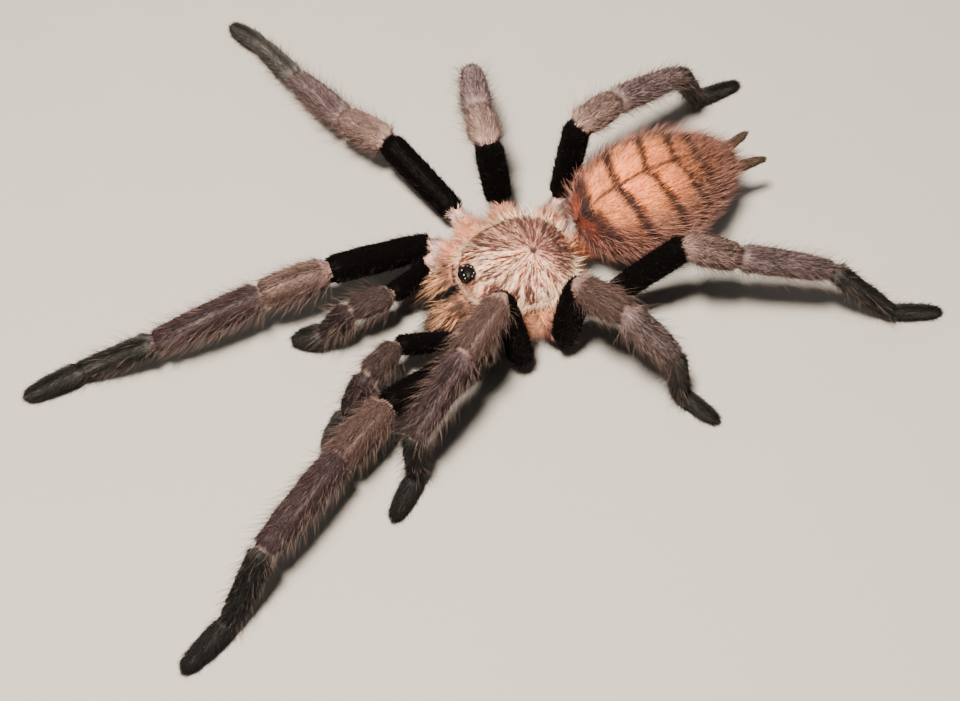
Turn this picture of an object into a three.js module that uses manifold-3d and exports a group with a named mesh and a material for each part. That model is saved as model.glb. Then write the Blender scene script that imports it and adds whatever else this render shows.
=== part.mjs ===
// Asian tiger earth tarantula, an adult female, as a still life-size museum model.
// Millimetres, +Z up. The head faces -Y and the animal's own left side is +X.
// The origin is on the floor, under the middle of the whole model's box.
// Every solid reaches to the tips of its short coat.

import * as THREE from 'three';
import { mergeVertices } from 'three/addons/utils/BufferGeometryUtils.js';
import Module from 'manifold-3d';

const wasm = await Module();
wasm.setup();

// The trunk
const RIDE_HEIGHT = 8.4;        // the carapace margin above the floor
const HEAD_DOWN = 3;            // degrees the trunk tips down towards the head
const CARAPACE_LENGTH = 20;
const CARAPACE_WIDTH = 17;
const CARAPACE_RIM = 0.9;       // below the margin
const THORAX_HEIGHT = 4.1;
const HEAD_RISE = 1.1;          // extra height of the head region
const ABDOMEN_LENGTH = 30;
const ABDOMEN_WIDTH = 20;
const ABDOMEN_HEIGHT = 16.4;
const ABDOMEN_TURN = 5;         // degrees the abdomen swings to the animal's right
const ABDOMEN_ASIDE = -0.9;     // its front end's shift to the animal's right
const ABDOMEN_FRONT = 11.4;     // behind the middle of the carapace
const ABDOMEN_CENTRE = 4.2;     // above the carapace margin
const SPINNERET_LENGTH = 8;
const SPINNERET_ROOT = { out: 1.5, inside: 3.2, below: 1.0 };   // from the abdomen's rear end
const SPINNERET_TURN = { left: 8, right: -13 };                 // degrees, towards +X
const CORE = { width: 7.2, length: 9.3, height: 3 };            // the body under the shield
const WAIST = { radius: 1.3, length: 8, rise: 24, behind: 8, up: -1.9 };   // rise in degrees
const CHELICERA = {
  out: 2.55, forward: 7.2, up: 0.2, drop: 26,
  length: 9, start: 2.1, belly: 2.55, end: 1.65,
};
const FANG = {
  out: 2.45, forward: 15.2, up: -5.9,
  length: 6, rootRadius: 0.75, tipRadius: 0.3, bow: 1.1, tilt: 4,
};

// Fits
const GAP = 0.3;                // clear space between solids that meet
const LIMB_SIDES = 9;

const FORWARD = new THREE.Vector3(0, -1, 0);
const UP = new THREE.Vector3(0, 0, 1);

// Limbs. base is where the femur leaves the trochanter: out from the midline, forward of
// the carapace's middle, and above its margin. joints holds the outer radius at each joint
// from the base to the tip, and belly the radius half way along each segment. toe is the
// height of the tip's centre over the floor, so that its underside is a small flat.
const LEG_SEGMENTS = ['femur', 'patella', 'tibia', 'metatarsus', 'tarsus'];
const PALP_SEGMENTS = ['femur', 'patella', 'tibia', 'tarsus'];
const LIMBS = {
  leg_1: {
    base: [11.2, 11.1, -2.9],
    lengths: [20.6, 11.8, 19.0, 14.5, 8.6],
    joints: [2.3, 2.6, 2.6, 2.15, 1.8, 1.5],
    belly: [2.65, 3.0, 2.7, 2.1, 1.95],
    toe: 1.35,
  },
  leg_2: {
    base: [14.8, 4.8, -2.4],
    lengths: [17.0, 11.0, 15.2, 12.1, 6.8],
    joints: [2.2, 2.45, 2.5, 2.0, 1.65, 1.4],
    belly: [2.45, 2.9, 2.6, 1.95, 1.8],
    toe: 1.25,
  },
  leg_3: {
    base: [14.2, -2.8, -2.2],
    lengths: [15.4, 9.0, 11.8, 13.2, 6.3],
    joints: [2.3, 2.5, 2.4, 1.9, 1.5, 1.25],
    belly: [2.6, 2.8, 2.5, 1.8, 1.55],
    toe: 1.05,
  },
  leg_4: {
    base: [10.6, -12.6, -1.4],
    lengths: [18.8, 9.8, 16.5, 17.8, 7.6],
    joints: [2.1, 2.4, 2.4, 1.8, 1.4, 1.15],
    belly: [2.4, 2.75, 2.4, 1.75, 1.45],
    toe: 1.0,
  },
  palp: {
    base: [7.4, 13.1, -3.4],
    lengths: [12.6, 7.6, 8.3, 6.2],
    joints: [1.5, 1.95, 2.0, 1.9, 1.5],
    belly: [1.85, 2.25, 2.3, 2.1],
    toe: 1.2,
  },
};

// The stance. Each pair is a heading, in degrees outward from straight ahead, and a lift
// above level. The last two segments have a heading only: they come down to the floor.
const STANCE = {
  left_leg_1: [[21, 19], [31, 4], [34, 2], [31], [26]],
  left_leg_2: [[-34, 78], [37, 1], [31, -33], [68], [42]],
  left_leg_3: [[176, 82], [121, 8], [136, -41], [153], [122]],
  left_leg_4: [[161, 54], [161, -23], [158, -14], [157], [163]],
  right_leg_1: [[-10, 23], [1, -5], [0, -11], [11], [-4]],
  right_leg_2: [[64, 20], [62, -16], [72, -13], [75], [63]],
  right_leg_3: [[55, 81], [100, -15], [106, -19], [106], [106]],
  right_leg_4: [[168, 82], [154, -17], [162, -20], [149], [174]],
  left_palp: [[4, 31], [30, 8], [27], [25]],
  right_palp: [[-38, 33], [-7, 6], [15], [33]],
};
const HEEL_LIFT = { leg: 0.6, palp: 3.2 };   // the last joint's clearance over the floor

const COLOURS = {
  femur: 0x0e0d0e,
  patella: 0x73645c,
  tibia: 0x5b4f4e,
  metatarsus: 0x34362f,
  tarsus: 0x2a2f2b,
  carapace: 0xb98f7e,
  sternum_and_coxae: 0x8f7567,
  abdomen: 0xa2766a,
  pedicel: 0x7a5a50,
  chelicera: 0xc09a80,
  fang: 0x140c0a,
  spinneret: 0x4a443a,
  eye_tubercle: 0x0a0909,
};

function material(kind) {
  const glossy = kind === 'fang' || kind === 'eye_tubercle';
  return new THREE.MeshStandardMaterial({
    color: COLOURS[kind],
    roughness: glossy ? 0.2 : 0.85,
    metalness: 0,
  });
}

// Solids to and from the boolean library

function toSolid(geometry) {
  const bare = geometry.clone();
  bare.deleteAttribute('normal');
  bare.deleteAttribute('uv');
  const merged = mergeVertices(bare, 1e-4);
  return new wasm.Manifold(new wasm.Mesh({
    numProp: 3,
    vertProperties: new Float32Array(merged.attributes.position.array),
    triVerts: new Uint32Array(merged.index.array),
  }));
}

function toGeometry(solid) {
  const mesh = solid.getMesh();
  const geometry = new THREE.BufferGeometry();
  geometry.setAttribute('position', new THREE.BufferAttribute(mesh.vertProperties, 3));
  geometry.setIndex(new THREE.BufferAttribute(mesh.triVerts, 1));
  geometry.computeVertexNormals();
  return geometry;
}

// Keeps the part of a solid that lies on the normal's side of a plane.
function keepBeyond(solid, normal, point) {
  return solid.trimByPlane(normal.toArray(), normal.dot(point));
}

function addMesh(parent, name, kind, geometry) {
  const mesh = new THREE.Mesh(geometry, material(kind));
  mesh.name = name;
  parent.add(mesh);
  return mesh;
}

// Basic forms

// A round form about +Y with domed ends centred on its two joints.
function limbForm(length, startRadius, bellyRadius, endRadius, sides, capSteps = 2) {
  const swell = bellyRadius - (startRadius + endRadius) / 2;
  const profile = [];
  for (let i = 0; i < capSteps; i++) {
    const angle = (i / capSteps) * Math.PI / 2;
    profile.push(new THREE.Vector2(startRadius * Math.sin(angle), -startRadius * Math.cos(angle)));
  }
  for (const along of [0, 0.32, 0.68, 1]) {
    const taper = THREE.MathUtils.lerp(startRadius, endRadius, along);
    profile.push(new THREE.Vector2(taper + 4 * swell * along * (1 - along), length * along));
  }
  for (let i = capSteps - 1; i >= 0; i--) {
    const angle = (i / capSteps) * Math.PI / 2;
    profile.push(new THREE.Vector2(
      endRadius * Math.sin(angle), length + endRadius * Math.cos(angle)));
  }
  return new THREE.LatheGeometry(profile, sides);
}

// A ball with its poles up and down, each of its points moved by a function.
function mouldedBall(around, down, move) {
  const geometry = new THREE.SphereGeometry(1, around, down);
  geometry.rotateX(Math.PI / 2);
  const position = geometry.attributes.position;
  const point = new THREE.Vector3();
  for (let i = 0; i < position.count; i++) {
    point.fromBufferAttribute(position, i);
    move(point);
    position.setXYZ(i, point.x, point.y, point.z);
  }
  return geometry;
}

// Turns +Y to a direction, with +Z on the upper side of the piece.
function aimAlong(direction) {
  const y = direction.clone().normalize();
  const x = new THREE.Vector3().crossVectors(y, UP).normalize();
  const z = new THREE.Vector3().crossVectors(x, y);
  return new THREE.Quaternion().setFromRotationMatrix(new THREE.Matrix4().makeBasis(x, y, z));
}

function trunkPoint(side, out, forward, up) {
  return new THREE.Vector3(side * out, -forward, up);
}

// Trunk pieces, in the trunk's own frame

const smooth = THREE.MathUtils.smoothstep;

// The shield: an oval with a blunt front, domed, with a raised head region.
function carapaceForm(grow) {
  const halfWidth = CARAPACE_WIDTH / 2 + grow;
  const halfLength = CARAPACE_LENGTH / 2 + grow;
  const squareness = 2.5;
  return mouldedBall(24, 12, (p) => {
    const reach = Math.hypot(p.x, p.y);
    const heading = Math.atan2(p.y, p.x);
    const rim = (
      Math.abs(Math.cos(heading) / halfWidth) ** squareness
      + Math.abs(Math.sin(heading) / halfLength) ** squareness
    ) ** (-1 / squareness);
    const plan = reach * rim;
    const y = plan * Math.sin(heading);
    const headward = -y / halfLength;
    const x = plan * Math.cos(heading) * (1 - 0.1 * headward - 0.08 * headward * headward);
    const headShare = smooth(headward, -0.1, 0.5) * Math.exp(-((x / 5.2) ** 2));
    const crown = THORAX_HEIGHT + HEAD_RISE * headShare + grow;
    const rimDepth = CARAPACE_RIM + grow;
    const z = p.z > 0 ? crown * p.z ** 0.62 : -rimDepth * Math.min(1, -2.5 * p.z);
    p.set(x, y, z);
  });
}

// The abdomen in its own frame: its front end at the origin and its rear along +Y.
function abdomenForm(grow) {
  return mouldedBall(20, 12, (p) => {
    const rearward = p.y;
    const fullness = 1 - 0.16 * rearward - 0.06 * rearward * rearward;
    const droop = p.z < 0 ? 0.9 : 1;
    p.set(
      p.x * (ABDOMEN_WIDTH / 2 + grow) * fullness,
      p.y * (ABDOMEN_LENGTH / 2 + grow) + ABDOMEN_LENGTH / 2,
      p.z * (ABDOMEN_HEIGHT / 2 + grow) * fullness * droop,
    );
  });
}

const abdomenPlace = new THREE.Matrix4()
  .makeRotationZ(THREE.MathUtils.degToRad(ABDOMEN_TURN))
  .setPosition(ABDOMEN_ASIDE, ABDOMEN_FRONT, ABDOMEN_CENTRE);

// A chelicera's basal joint, from under the shield's front edge, forward and down.
function cheliceraForm(side, grow) {
  const { length, start, belly, end, drop } = CHELICERA;
  const geometry = limbForm(length, start + grow, belly + grow, end + grow, 10);
  geometry.scale(0.92, 1, 1.18);
  const direction = FORWARD.clone().applyAxisAngle(
    new THREE.Vector3(1, 0, 0), THREE.MathUtils.degToRad(drop));
  geometry.applyQuaternion(aimAlong(direction));
  const root = trunkPoint(side, CHELICERA.out, CHELICERA.forward, CHELICERA.up);
  geometry.translate(root.x, root.y, root.z);
  return geometry;
}

// A fang folded back under its chelicera: a slim cone, bowed along its length.
function fangForm(side, lift = 0) {
  const { length, rootRadius, tipRadius, bow, tilt } = FANG;
  const profile = [new THREE.Vector2(0, 0)];
  for (const along of [0, 0.35, 0.7, 1]) {
    profile.push(new THREE.Vector2(
      THREE.MathUtils.lerp(rootRadius, tipRadius, along), length * along));
  }
  profile.push(new THREE.Vector2(0, length + tipRadius));
  const geometry = new THREE.LatheGeometry(profile, 8);
  const position = geometry.attributes.position;
  for (let i = 0; i < position.count; i++) {
    const along = position.getY(i) / length;
    position.setZ(i, position.getZ(i) - 4 * bow * along * (1 - along));
  }
  geometry.rotateX(THREE.MathUtils.degToRad(-tilt));
  const root = trunkPoint(side, FANG.out, FANG.forward, FANG.up + lift);
  geometry.translate(root.x, root.y, root.z);
  return geometry;
}

// A spinneret: a finger of three joints, narrower at each.
function spinneretForm() {
  const steps = [[0, 0], [1.05, 0], [1.15, 0.16], [0.95, 0.38], [1.0, 0.5], [0.8, 0.68],
    [0.8, 0.78], [0.5, 0.95], [0, 1]];
  const profile = steps.map(([radius, along]) => new THREE.Vector2(radius, along * SPINNERET_LENGTH));
  return new THREE.LatheGeometry(profile, LIMB_SIDES);
}

// Eight eyes on one low mound: a middle pair in front and three on each side.
const EYES = [
  { out: 0.5, forward: 0.5, up: 0.66, radius: 0.43 },
  { out: 1.3, forward: 0.85, up: 0.16, radius: 0.4 },
  { out: 1.42, forward: -0.3, up: 0.2, radius: 0.36 },
  { out: 0.9, forward: -0.5, up: 0.55, radius: 0.28 },
];
const TUBERCLE = { forward: 8.2, up: 4.2, width: 1.75, length: 1.4, height: 1.15 };

function eyeTubercleForm() {
  const { width, length, height, forward, up } = TUBERCLE;
  const centre = trunkPoint(1, 0, forward, up);
  let solid = toSolid(mouldedBall(10, 6, (p) => {
    p.set(p.x * width, p.y * length, p.z * height).add(centre);
  }));
  for (const side of [-1, 1]) {
    for (const eye of EYES) {
      const place = trunkPoint(side, eye.out, eye.forward, eye.up).add(centre);
      const ball = new THREE.SphereGeometry(eye.radius, 6, 4);
      ball.translate(place.x, place.y, place.z);
      solid = solid.add(toSolid(ball));
    }
  }
  return solid;
}

// Directions of the limbs

function heading(side, outwardDegrees, liftDegrees) {
  const outward = THREE.MathUtils.degToRad(outwardDegrees);
  const lift = THREE.MathUtils.degToRad(liftDegrees);
  return new THREE.Vector3(
    side * Math.sin(outward) * Math.cos(lift),
    -Math.cos(outward) * Math.cos(lift),
    Math.sin(lift),
  );
}

// The joints of one limb from its base to its tip, in the model's frame.
function limbJoints(limb, side, stance, base, heelLift) {
  const joints = [base];
  const count = limb.lengths.length;
  limb.lengths.forEach((length, i) => {
    const from = joints[i];
    let lift = stance[i][1];
    if (lift === undefined) {
      const heel = limb.joints[count - 1] + heelLift;
      const drop = (i === count - 1 ? limb.toe : heel) - from.z;
      lift = THREE.MathUtils.radToDeg(Math.asin(THREE.MathUtils.clamp(drop / length, -0.995, 0.995)));
    }
    joints.push(from.clone().addScaledVector(heading(side, stance[i][0], lift), length));
  });
  return joints;
}

// Assembly

const tarantula = new THREE.Group();
const model = new THREE.Group();
const trunk = new THREE.Group();
tarantula.add(model);
model.add(trunk);
trunk.position.z = RIDE_HEIGHT;
trunk.rotation.x = THREE.MathUtils.degToRad(HEAD_DOWN);
trunk.updateMatrixWorld(true);

const grownCarapace = toSolid(carapaceForm(GAP));
const grownAbdomen = toSolid(abdomenForm(GAP).applyMatrix4(abdomenPlace));
const carapace = toSolid(carapaceForm(0));
const abdomen = toSolid(abdomenForm(0).applyMatrix4(abdomenPlace));

addMesh(trunk, 'carapace', 'carapace', toGeometry(carapace));
addMesh(trunk, 'abdomen', 'abdomen', toGeometry(abdomen));
addMesh(trunk, 'eye_tubercle_with_eyes', 'eye_tubercle',
  toGeometry(eyeTubercleForm().subtract(grownCarapace)));

// The lower trunk: a core under the shield with ten coxae and trochanters around it.
const COXA_ROOTS = { leg_1: [4.2, 6.2], leg_2: [4.8, 2.6], leg_3: [4.8, -1.6], leg_4: [4.2, -5.6],
  palp: [2.6, 7.6] };
const COXA_DEPTH = -3.4;

function coreForm(grow) {
  return mouldedBall(14, 8, (p) => {
    p.x *= CORE.width + grow;
    p.y *= CORE.length + grow;
    p.z = p.z * (CORE.height + grow) - CORE.height;
  });
}

let lowerTrunk = toSolid(coreForm(0));

const limbs = [];
const femurRooms = [];
for (const name of Object.keys(STANCE)) {
  const sideName = name.split('_')[0];
  const kind = name.slice(sideName.length + 1);
  const side = sideName === 'left' ? 1 : -1;
  const limb = LIMBS[kind];
  const base = trunkPoint(side, ...limb.base);
  const root = trunkPoint(side, COXA_ROOTS[kind][0], COXA_ROOTS[kind][1], COXA_DEPTH);
  const coxaAxis = base.clone().sub(root);
  const isPalp = kind === 'palp';

  const joints = limbJoints(limb, side, STANCE[name], trunk.localToWorld(base.clone()),
    isPalp ? HEEL_LIFT.palp : HEEL_LIFT.leg);
  limbs.push({ name, limb, joints, isPalp, coxaAxis });

  // The coxa is cut half way round the bend into the femur.
  const femurAxis = joints[1].clone().sub(joints[0]).transformDirection(
    trunk.matrixWorld.clone().invert());
  const bend = coxaAxis.clone().normalize().add(femurAxis).normalize();
  const startRadius = limb.joints[0];
  const coxa = limbForm(coxaAxis.length(), startRadius + 0.2, startRadius + 0.5, startRadius, 7, 1);
  coxa.applyQuaternion(aimAlong(coxaAxis));
  coxa.translate(root.x, root.y, root.z);
  const end = base.clone().addScaledVector(bend, -GAP / 2);
  lowerTrunk = lowerTrunk.add(keepBeyond(toSolid(coxa), bend.clone().negate(), end));

  const room = limbForm(limb.lengths[0], startRadius + GAP, limb.belly[0] + GAP,
    limb.joints[1] + GAP, 7, 1);
  room.applyQuaternion(aimAlong(femurAxis));
  room.translate(base.x, base.y, base.z);
  femurRooms.push(keepBeyond(toSolid(room), bend, base));
}
for (const room of femurRooms) {
  lowerTrunk = lowerTrunk.subtract(room);
}

// Chelicerae and fangs
for (const [sideName, side] of [['left', 1], ['right', -1]]) {
  const inner = new THREE.Vector3(side, 0, 0);
  const midline = new THREE.Vector3(side * GAP / 2, 0, 0);
  const chelicera = keepBeyond(
    toSolid(cheliceraForm(side, 0)).subtract(grownCarapace), inner, midline);
  addMesh(trunk, `${sideName}_chelicera`, 'chelicera', toGeometry(chelicera));

  const grownChelicera = toSolid(cheliceraForm(side, GAP));
  const fang = toSolid(fangForm(side)).subtract(grownChelicera);
  addMesh(trunk, `${sideName}_fang`, 'fang', toGeometry(fang));

  for (const lift of [GAP, -GAP]) {
    lowerTrunk = lowerTrunk.subtract(toSolid(fangForm(side, lift)));
  }
  lowerTrunk = lowerTrunk.subtract(grownChelicera);
}
lowerTrunk = lowerTrunk.subtract(grownCarapace).subtract(grownAbdomen);
addMesh(trunk, 'sternum_and_coxae', 'sternum_and_coxae', toGeometry(lowerTrunk));

// The waist between the lower trunk and the abdomen
const waist = limbForm(WAIST.length, WAIST.radius, WAIST.radius, WAIST.radius, 8, 1);
waist.rotateX(THREE.MathUtils.degToRad(WAIST.rise));
waist.translate(0, WAIST.behind, WAIST.up);
const grownCore = toSolid(coreForm(GAP));
addMesh(trunk, 'pedicel', 'pedicel', toGeometry(
  toSolid(waist).subtract(grownCore).subtract(grownCarapace).subtract(grownAbdomen)));

// Spinnerets
for (const [sideName, side] of [['left', 1], ['right', -1]]) {
  const { out, inside, below } = SPINNERET_ROOT;
  const geometry = spinneretForm();
  geometry.rotateZ(-THREE.MathUtils.degToRad(SPINNERET_TURN[sideName]));
  geometry.translate(side * out, ABDOMEN_LENGTH - inside, -below);
  geometry.applyMatrix4(abdomenPlace);
  const spinneret = toSolid(geometry).subtract(grownAbdomen);
  addMesh(trunk, `${sideName}_spinneret`, 'spinneret', toGeometry(spinneret));
}

// Legs and palps: each segment is cut half way round the bend at both of its joints.
for (const { name, limb, joints, isPalp, coxaAxis } of limbs) {
  const segments = isPalp ? PALP_SEGMENTS : LEG_SEGMENTS;
  const axes = segments.map((_, i) => joints[i + 1].clone().sub(joints[i]).normalize());
  const before = coxaAxis.clone().transformDirection(trunk.matrixWorld);
  segments.forEach((segment, i) => {
    const length = limb.lengths[i];
    const turn = aimAlong(axes[i]);
    const toLocal = turn.clone().invert();
    let solid = toSolid(
      limbForm(length, limb.joints[i], limb.belly[i], limb.joints[i + 1], LIMB_SIDES));

    const inward = (i === 0 ? before : axes[i - 1]).clone().add(axes[i]).normalize();
    inward.applyQuaternion(toLocal);
    solid = keepBeyond(solid, inward, inward.clone().multiplyScalar(GAP / 2));

    if (i < segments.length - 1) {
      const onward = axes[i].clone().add(axes[i + 1]).normalize().applyQuaternion(toLocal);
      const end = new THREE.Vector3(0, length, 0).addScaledVector(onward, -GAP / 2);
      solid = keepBeyond(solid, onward.clone().negate(), end);
    } else {
      const floor = UP.clone().applyQuaternion(toLocal);
      solid = keepBeyond(solid, floor, floor.clone().multiplyScalar(-joints[i].z));
    }

    const mesh = addMesh(model, `${name}_${segment}`, segment, toGeometry(solid));
    mesh.position.copy(joints[i]);
    mesh.quaternion.copy(turn);
  });
}

// Centre the whole model's box over the origin, with the feet on the floor.
tarantula.updateMatrixWorld(true);
const box = new THREE.Box3().setFromObject(tarantula, true);
model.position.set(-(box.min.x + box.max.x) / 2, -(box.min.y + box.max.y) / 2, 0);

export default tarantula;
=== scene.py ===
import math

import bmesh
import bpy
import numpy as np
from mathutils import Matrix, Vector
from mathutils.bvhtree import BVHTree


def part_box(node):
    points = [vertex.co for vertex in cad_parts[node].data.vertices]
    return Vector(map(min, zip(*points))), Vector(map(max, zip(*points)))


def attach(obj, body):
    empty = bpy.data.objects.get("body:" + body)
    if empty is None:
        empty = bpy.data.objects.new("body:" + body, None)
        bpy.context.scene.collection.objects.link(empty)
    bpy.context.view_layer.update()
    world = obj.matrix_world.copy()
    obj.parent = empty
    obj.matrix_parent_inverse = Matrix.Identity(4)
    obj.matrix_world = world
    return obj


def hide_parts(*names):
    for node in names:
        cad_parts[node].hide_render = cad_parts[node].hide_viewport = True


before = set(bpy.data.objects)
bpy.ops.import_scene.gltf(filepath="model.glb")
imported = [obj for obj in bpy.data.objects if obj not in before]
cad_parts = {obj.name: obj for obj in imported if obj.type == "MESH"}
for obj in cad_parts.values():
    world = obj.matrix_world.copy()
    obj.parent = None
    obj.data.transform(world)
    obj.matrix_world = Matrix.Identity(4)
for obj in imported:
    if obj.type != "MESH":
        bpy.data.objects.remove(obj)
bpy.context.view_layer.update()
mm = 0.001
seedOf = 20

# The nodes of flesh, in the order in which each limb leaves the trunk
legSegments = ["femur", "patella", "tibia", "metatarsus", "tarsus"]
palpSegments = ["femur", "patella", "tibia", "tarsus"]
limbNodes = {}
for side in ("left", "right"):
    for number in (1, 2, 3, 4):
        limbNodes[f"{side}_leg_{number}"] = [f"{side}_leg_{number}_{part}" for part in legSegments]
    limbNodes[f"{side}_palp"] = [f"{side}_palp_{part}" for part in palpSegments]
fleshNodes = ["sternum_and_coxae", "pedicel", "abdomen", "left_spinneret", "right_spinneret"]
for nodes in limbNodes.values():
    fleshNodes += nodes
chains = [["sternum_and_coxae", "pedicel", "abdomen"]]
chains += [["abdomen", "left_spinneret"], ["abdomen", "right_spinneret"]]
chains += [["sternum_and_coxae"] + nodes for nodes in limbNodes.values()]


def hexColour(text):
    # an sRGB colour, such as "c89070", as the linear values that shaders read
    parts = [int(text[k:k + 2], 16) / 255 for k in (0, 2, 4)]
    return tuple(p / 12.92 if p <= 0.04045 else ((p + 0.055) / 1.055) ** 2.4 for p in parts) + (1.0,)


def unit(vectors):
    return vectors / np.maximum(np.linalg.norm(vectors, axis=-1, keepdims=True), 1e-12)


def dots(ways, others):
    return np.einsum("ij,ij->i", ways, others)


def alongSurface(ways, normals):
    return unit(ways - normals * dots(ways, normals)[:, None])


def smoothStep(low, high, value):
    share = np.clip((value - low) / (high - low), 0, 1)
    return share * share * (3 - 2 * share)


noiseTable = np.random.default_rng(seedOf).random((64, 64))


def softNoise(across, along, shift=0.0):
    # smooth random values from 0 to 1 that change once per unit each way
    across = across + 17.3 * shift
    along = along + 9.1 * shift
    column, row = np.floor(across).astype(int), np.floor(along).astype(int)
    x, y = across - column, along - row
    x, y = x * x * (3 - 2 * x), y * y * (3 - 2 * y)
    near, far = (
        noiseTable[column % 64, line % 64] * (1 - x) + noiseTable[(column + 1) % 64, line % 64] * x
        for line in (row, row + 1)
    )
    return near * (1 - y) + far * y


# Meshes and arrays

def nodeMesh(node):
    shape = bmesh.new()
    shape.from_mesh(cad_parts[node].data)
    bmesh.ops.remove_doubles(shape, verts=shape.verts, dist=0.0001 * mm)
    return shape


def readArray(items, key, columns=1, kind=float):
    values = np.empty(len(items) * columns, dtype=kind)
    items.foreach_get(key, values)
    return values.reshape(-1, columns) if columns > 1 else values


def pointsOf(mesh):
    return readArray(mesh.vertices, "co", 3)


def nodePoints(node):
    return pointsOf(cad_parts[node].data)


def normalsOf(mesh):
    return readArray(mesh.vertex_normals, "vector", 3)


def trianglesOf(mesh):
    mesh.calc_loop_triangles()
    return readArray(mesh.loop_triangles, "vertices", 3, np.int32)


def boxOf(node):
    return [np.array(corner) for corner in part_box(node)]


def addAttribute(mesh, name, values):
    layer = mesh.attributes.new(name, "FLOAT", "POINT")
    layer.data.foreach_set("value", np.ascontiguousarray(values, dtype=np.float32))


def addMasks(mesh, mark, second, third, tone):
    # what the fur's materials read; bare skin has the painted shade of hair near its root
    for name, values in (("mark", mark), ("second", second), ("third", third), ("tone", tone)):
        addAttribute(mesh, name, values)
    addAttribute(mesh, "along", np.full(len(mesh.vertices), 0.3))


def addObject(name, mesh, materials):
    made = bpy.data.objects.new(name, mesh)
    bpy.context.scene.collection.objects.link(made)
    for surface in materials:
        mesh.materials.append(surface)
    return made


def fromBmesh(name, shape, materials):
    mesh = bpy.data.meshes.new(name)
    bmesh.ops.recalc_face_normals(shape, faces=shape.faces)
    shape.to_mesh(mesh)
    shape.free()
    mesh.shade_smooth()
    return addObject(name, mesh, materials)


# Where each limb's joints are: the middles of the cut faces of the nodes that meet there

fleshMeshes = {node: nodeMesh(node) for node in fleshNodes}
fleshTrees = {node: BVHTree.FromBMesh(fleshMeshes[node]) for node in fleshNodes}
fits = {"reach": 0.47 * mm, "overlap": 0.08 * mm}


def facing(node, other):
    # the vertices of one node that face the other across the fit, each with the point opposite
    pairs = []
    for vertex in fleshMeshes[node].verts:
        spot, _, _, gap = fleshTrees[other].find_nearest(vertex.co, fits["reach"])
        if spot is not None:
            pairs.append((vertex, spot))
    return pairs


meetings = {}
moves = []
for chain in chains:
    for first, second in zip(chain, chain[1:]):
        ends = []
        for node, other in ((first, second), (second, first)):
            pairs = facing(node, other)
            moves += pairs
            if pairs:
                ends.append(np.mean([pair[0].co for pair in pairs], axis=0))
        meetings[(first, second)] = np.mean(ends, axis=0)

shieldLow, shieldHigh = boxOf("carapace")
trunkMiddle = (shieldLow + shieldHigh) / 2
seats = {}      # each node's own frame: where it starts, its axis, its upper side, and how long it is


def setSeat(node, start, end, upper=(0, 0, 1), before=0.0, whole=None, cell=None):
    start, end = np.array(start), np.array(end)
    length = float(np.linalg.norm(end - start))
    axis = (end - start) / length
    upper = np.array(upper, dtype=float)
    upper = upper - axis * upper.dot(axis)
    upper /= np.linalg.norm(upper)
    seats[node] = {
        "start": start, "axis": axis, "upper": upper, "side": np.cross(upper, axis),
        "length": length, "before": before, "whole": whole or length, "cell": cell or node,
    }


for limb, nodes in limbNodes.items():
    chain = ["sternum_and_coxae"] + nodes
    joints = [meetings[pair] for pair in zip(chain, chain[1:])]
    last = nodePoints(nodes[-1])
    reach = np.linalg.norm(last - joints[-1], axis=1)
    joints.append(last[reach > 0.9 * reach.max()].mean(axis=0))
    lengths = [float(np.linalg.norm(b - a)) for a, b in zip(joints, joints[1:])]
    for k, node in enumerate(nodes):
        setSeat(node, joints[k], joints[k + 1], before=sum(lengths[:k]), whole=sum(lengths), cell=limb)

abdomenPoints = nodePoints("abdomen")
spread = np.linalg.eigh(np.cov((abdomenPoints - abdomenPoints.mean(axis=0)).T))[1][:, -1]
spread = spread * np.sign(spread[1])        # backwards
low, high = abdomenPoints.dot(spread).min(), abdomenPoints.dot(spread).max()
middle = (abdomenPoints.min(axis=0) + abdomenPoints.max(axis=0)) / 2
front = middle + spread * (low - middle.dot(spread))
setSeat("abdomen", front, front + spread * (high - low))
setSeat("pedicel", meetings[("sternum_and_coxae", "pedicel")], meetings[("pedicel", "abdomen")])
for side in ("left", "right"):
    node = f"{side}_spinneret"
    root = meetings[("abdomen", node)]
    points = nodePoints(node)
    reach = np.linalg.norm(points - root, axis=1)
    setSeat(node, root, points[reach > 0.9 * reach.max()].mean(axis=0))
trunkLow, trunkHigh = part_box("sternum_and_coxae")
setSeat(
    "sternum_and_coxae",
    (trunkMiddle[0], trunkMiddle[1], trunkHigh[2] + 1 * mm),
    (trunkMiddle[0], trunkMiddle[1], trunkLow[2] - 1 * mm),
    upper=(0, -1, 0),
)
print("joints found:", len(meetings))

seatKeys = ("start", "axis", "upper", "side", "length", "before", "whole")
seatArrays = {key: np.array([seats[node][key] for node in fleshNodes]) for key in seatKeys}
kindOf = [node.split("_")[-1] for node in fleshNodes]       # the trunk's name also ends in coxae
isPalp = np.array(["palp" in node for node in fleshNodes])
kinds = ["coxae", "pedicel", "abdomen", "spinneret", "femur", "patella", "tibia", "metatarsus", "tarsus"]
coxaeKind, pedicelKind, abdomenKind, spinneretKind, femurKind = range(5)
patellaKind, tibiaKind, metatarsusKind, tarsusKind = range(5, 9)
kindIndex = np.array([kinds.index(kind) for kind in kindOf])


def placeOf(points, owner):
    # each point's place on the node that it belongs to
    seat = {key: values[owner] for key, values in seatArrays.items()}
    offset = points - seat["start"]
    run, rise, swing = (dots(offset, seat[key]) for key in ("axis", "upper", "side"))
    return {
        "share": np.clip(run / seat["length"], -0.1, 1.1),
        "run": run / mm,
        "left": seat["length"] / mm - run / mm,
        "turn": np.arctan2(swing, rise),
        "upper": rise / np.maximum(np.hypot(rise, swing), 1e-9),
        "limbShare": (seat["before"] + run) / seat["whole"],
    }


# One skin over all the flesh: the nodes grown across their fits, remeshed whole, and taken in
# by the depth of the coat

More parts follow.
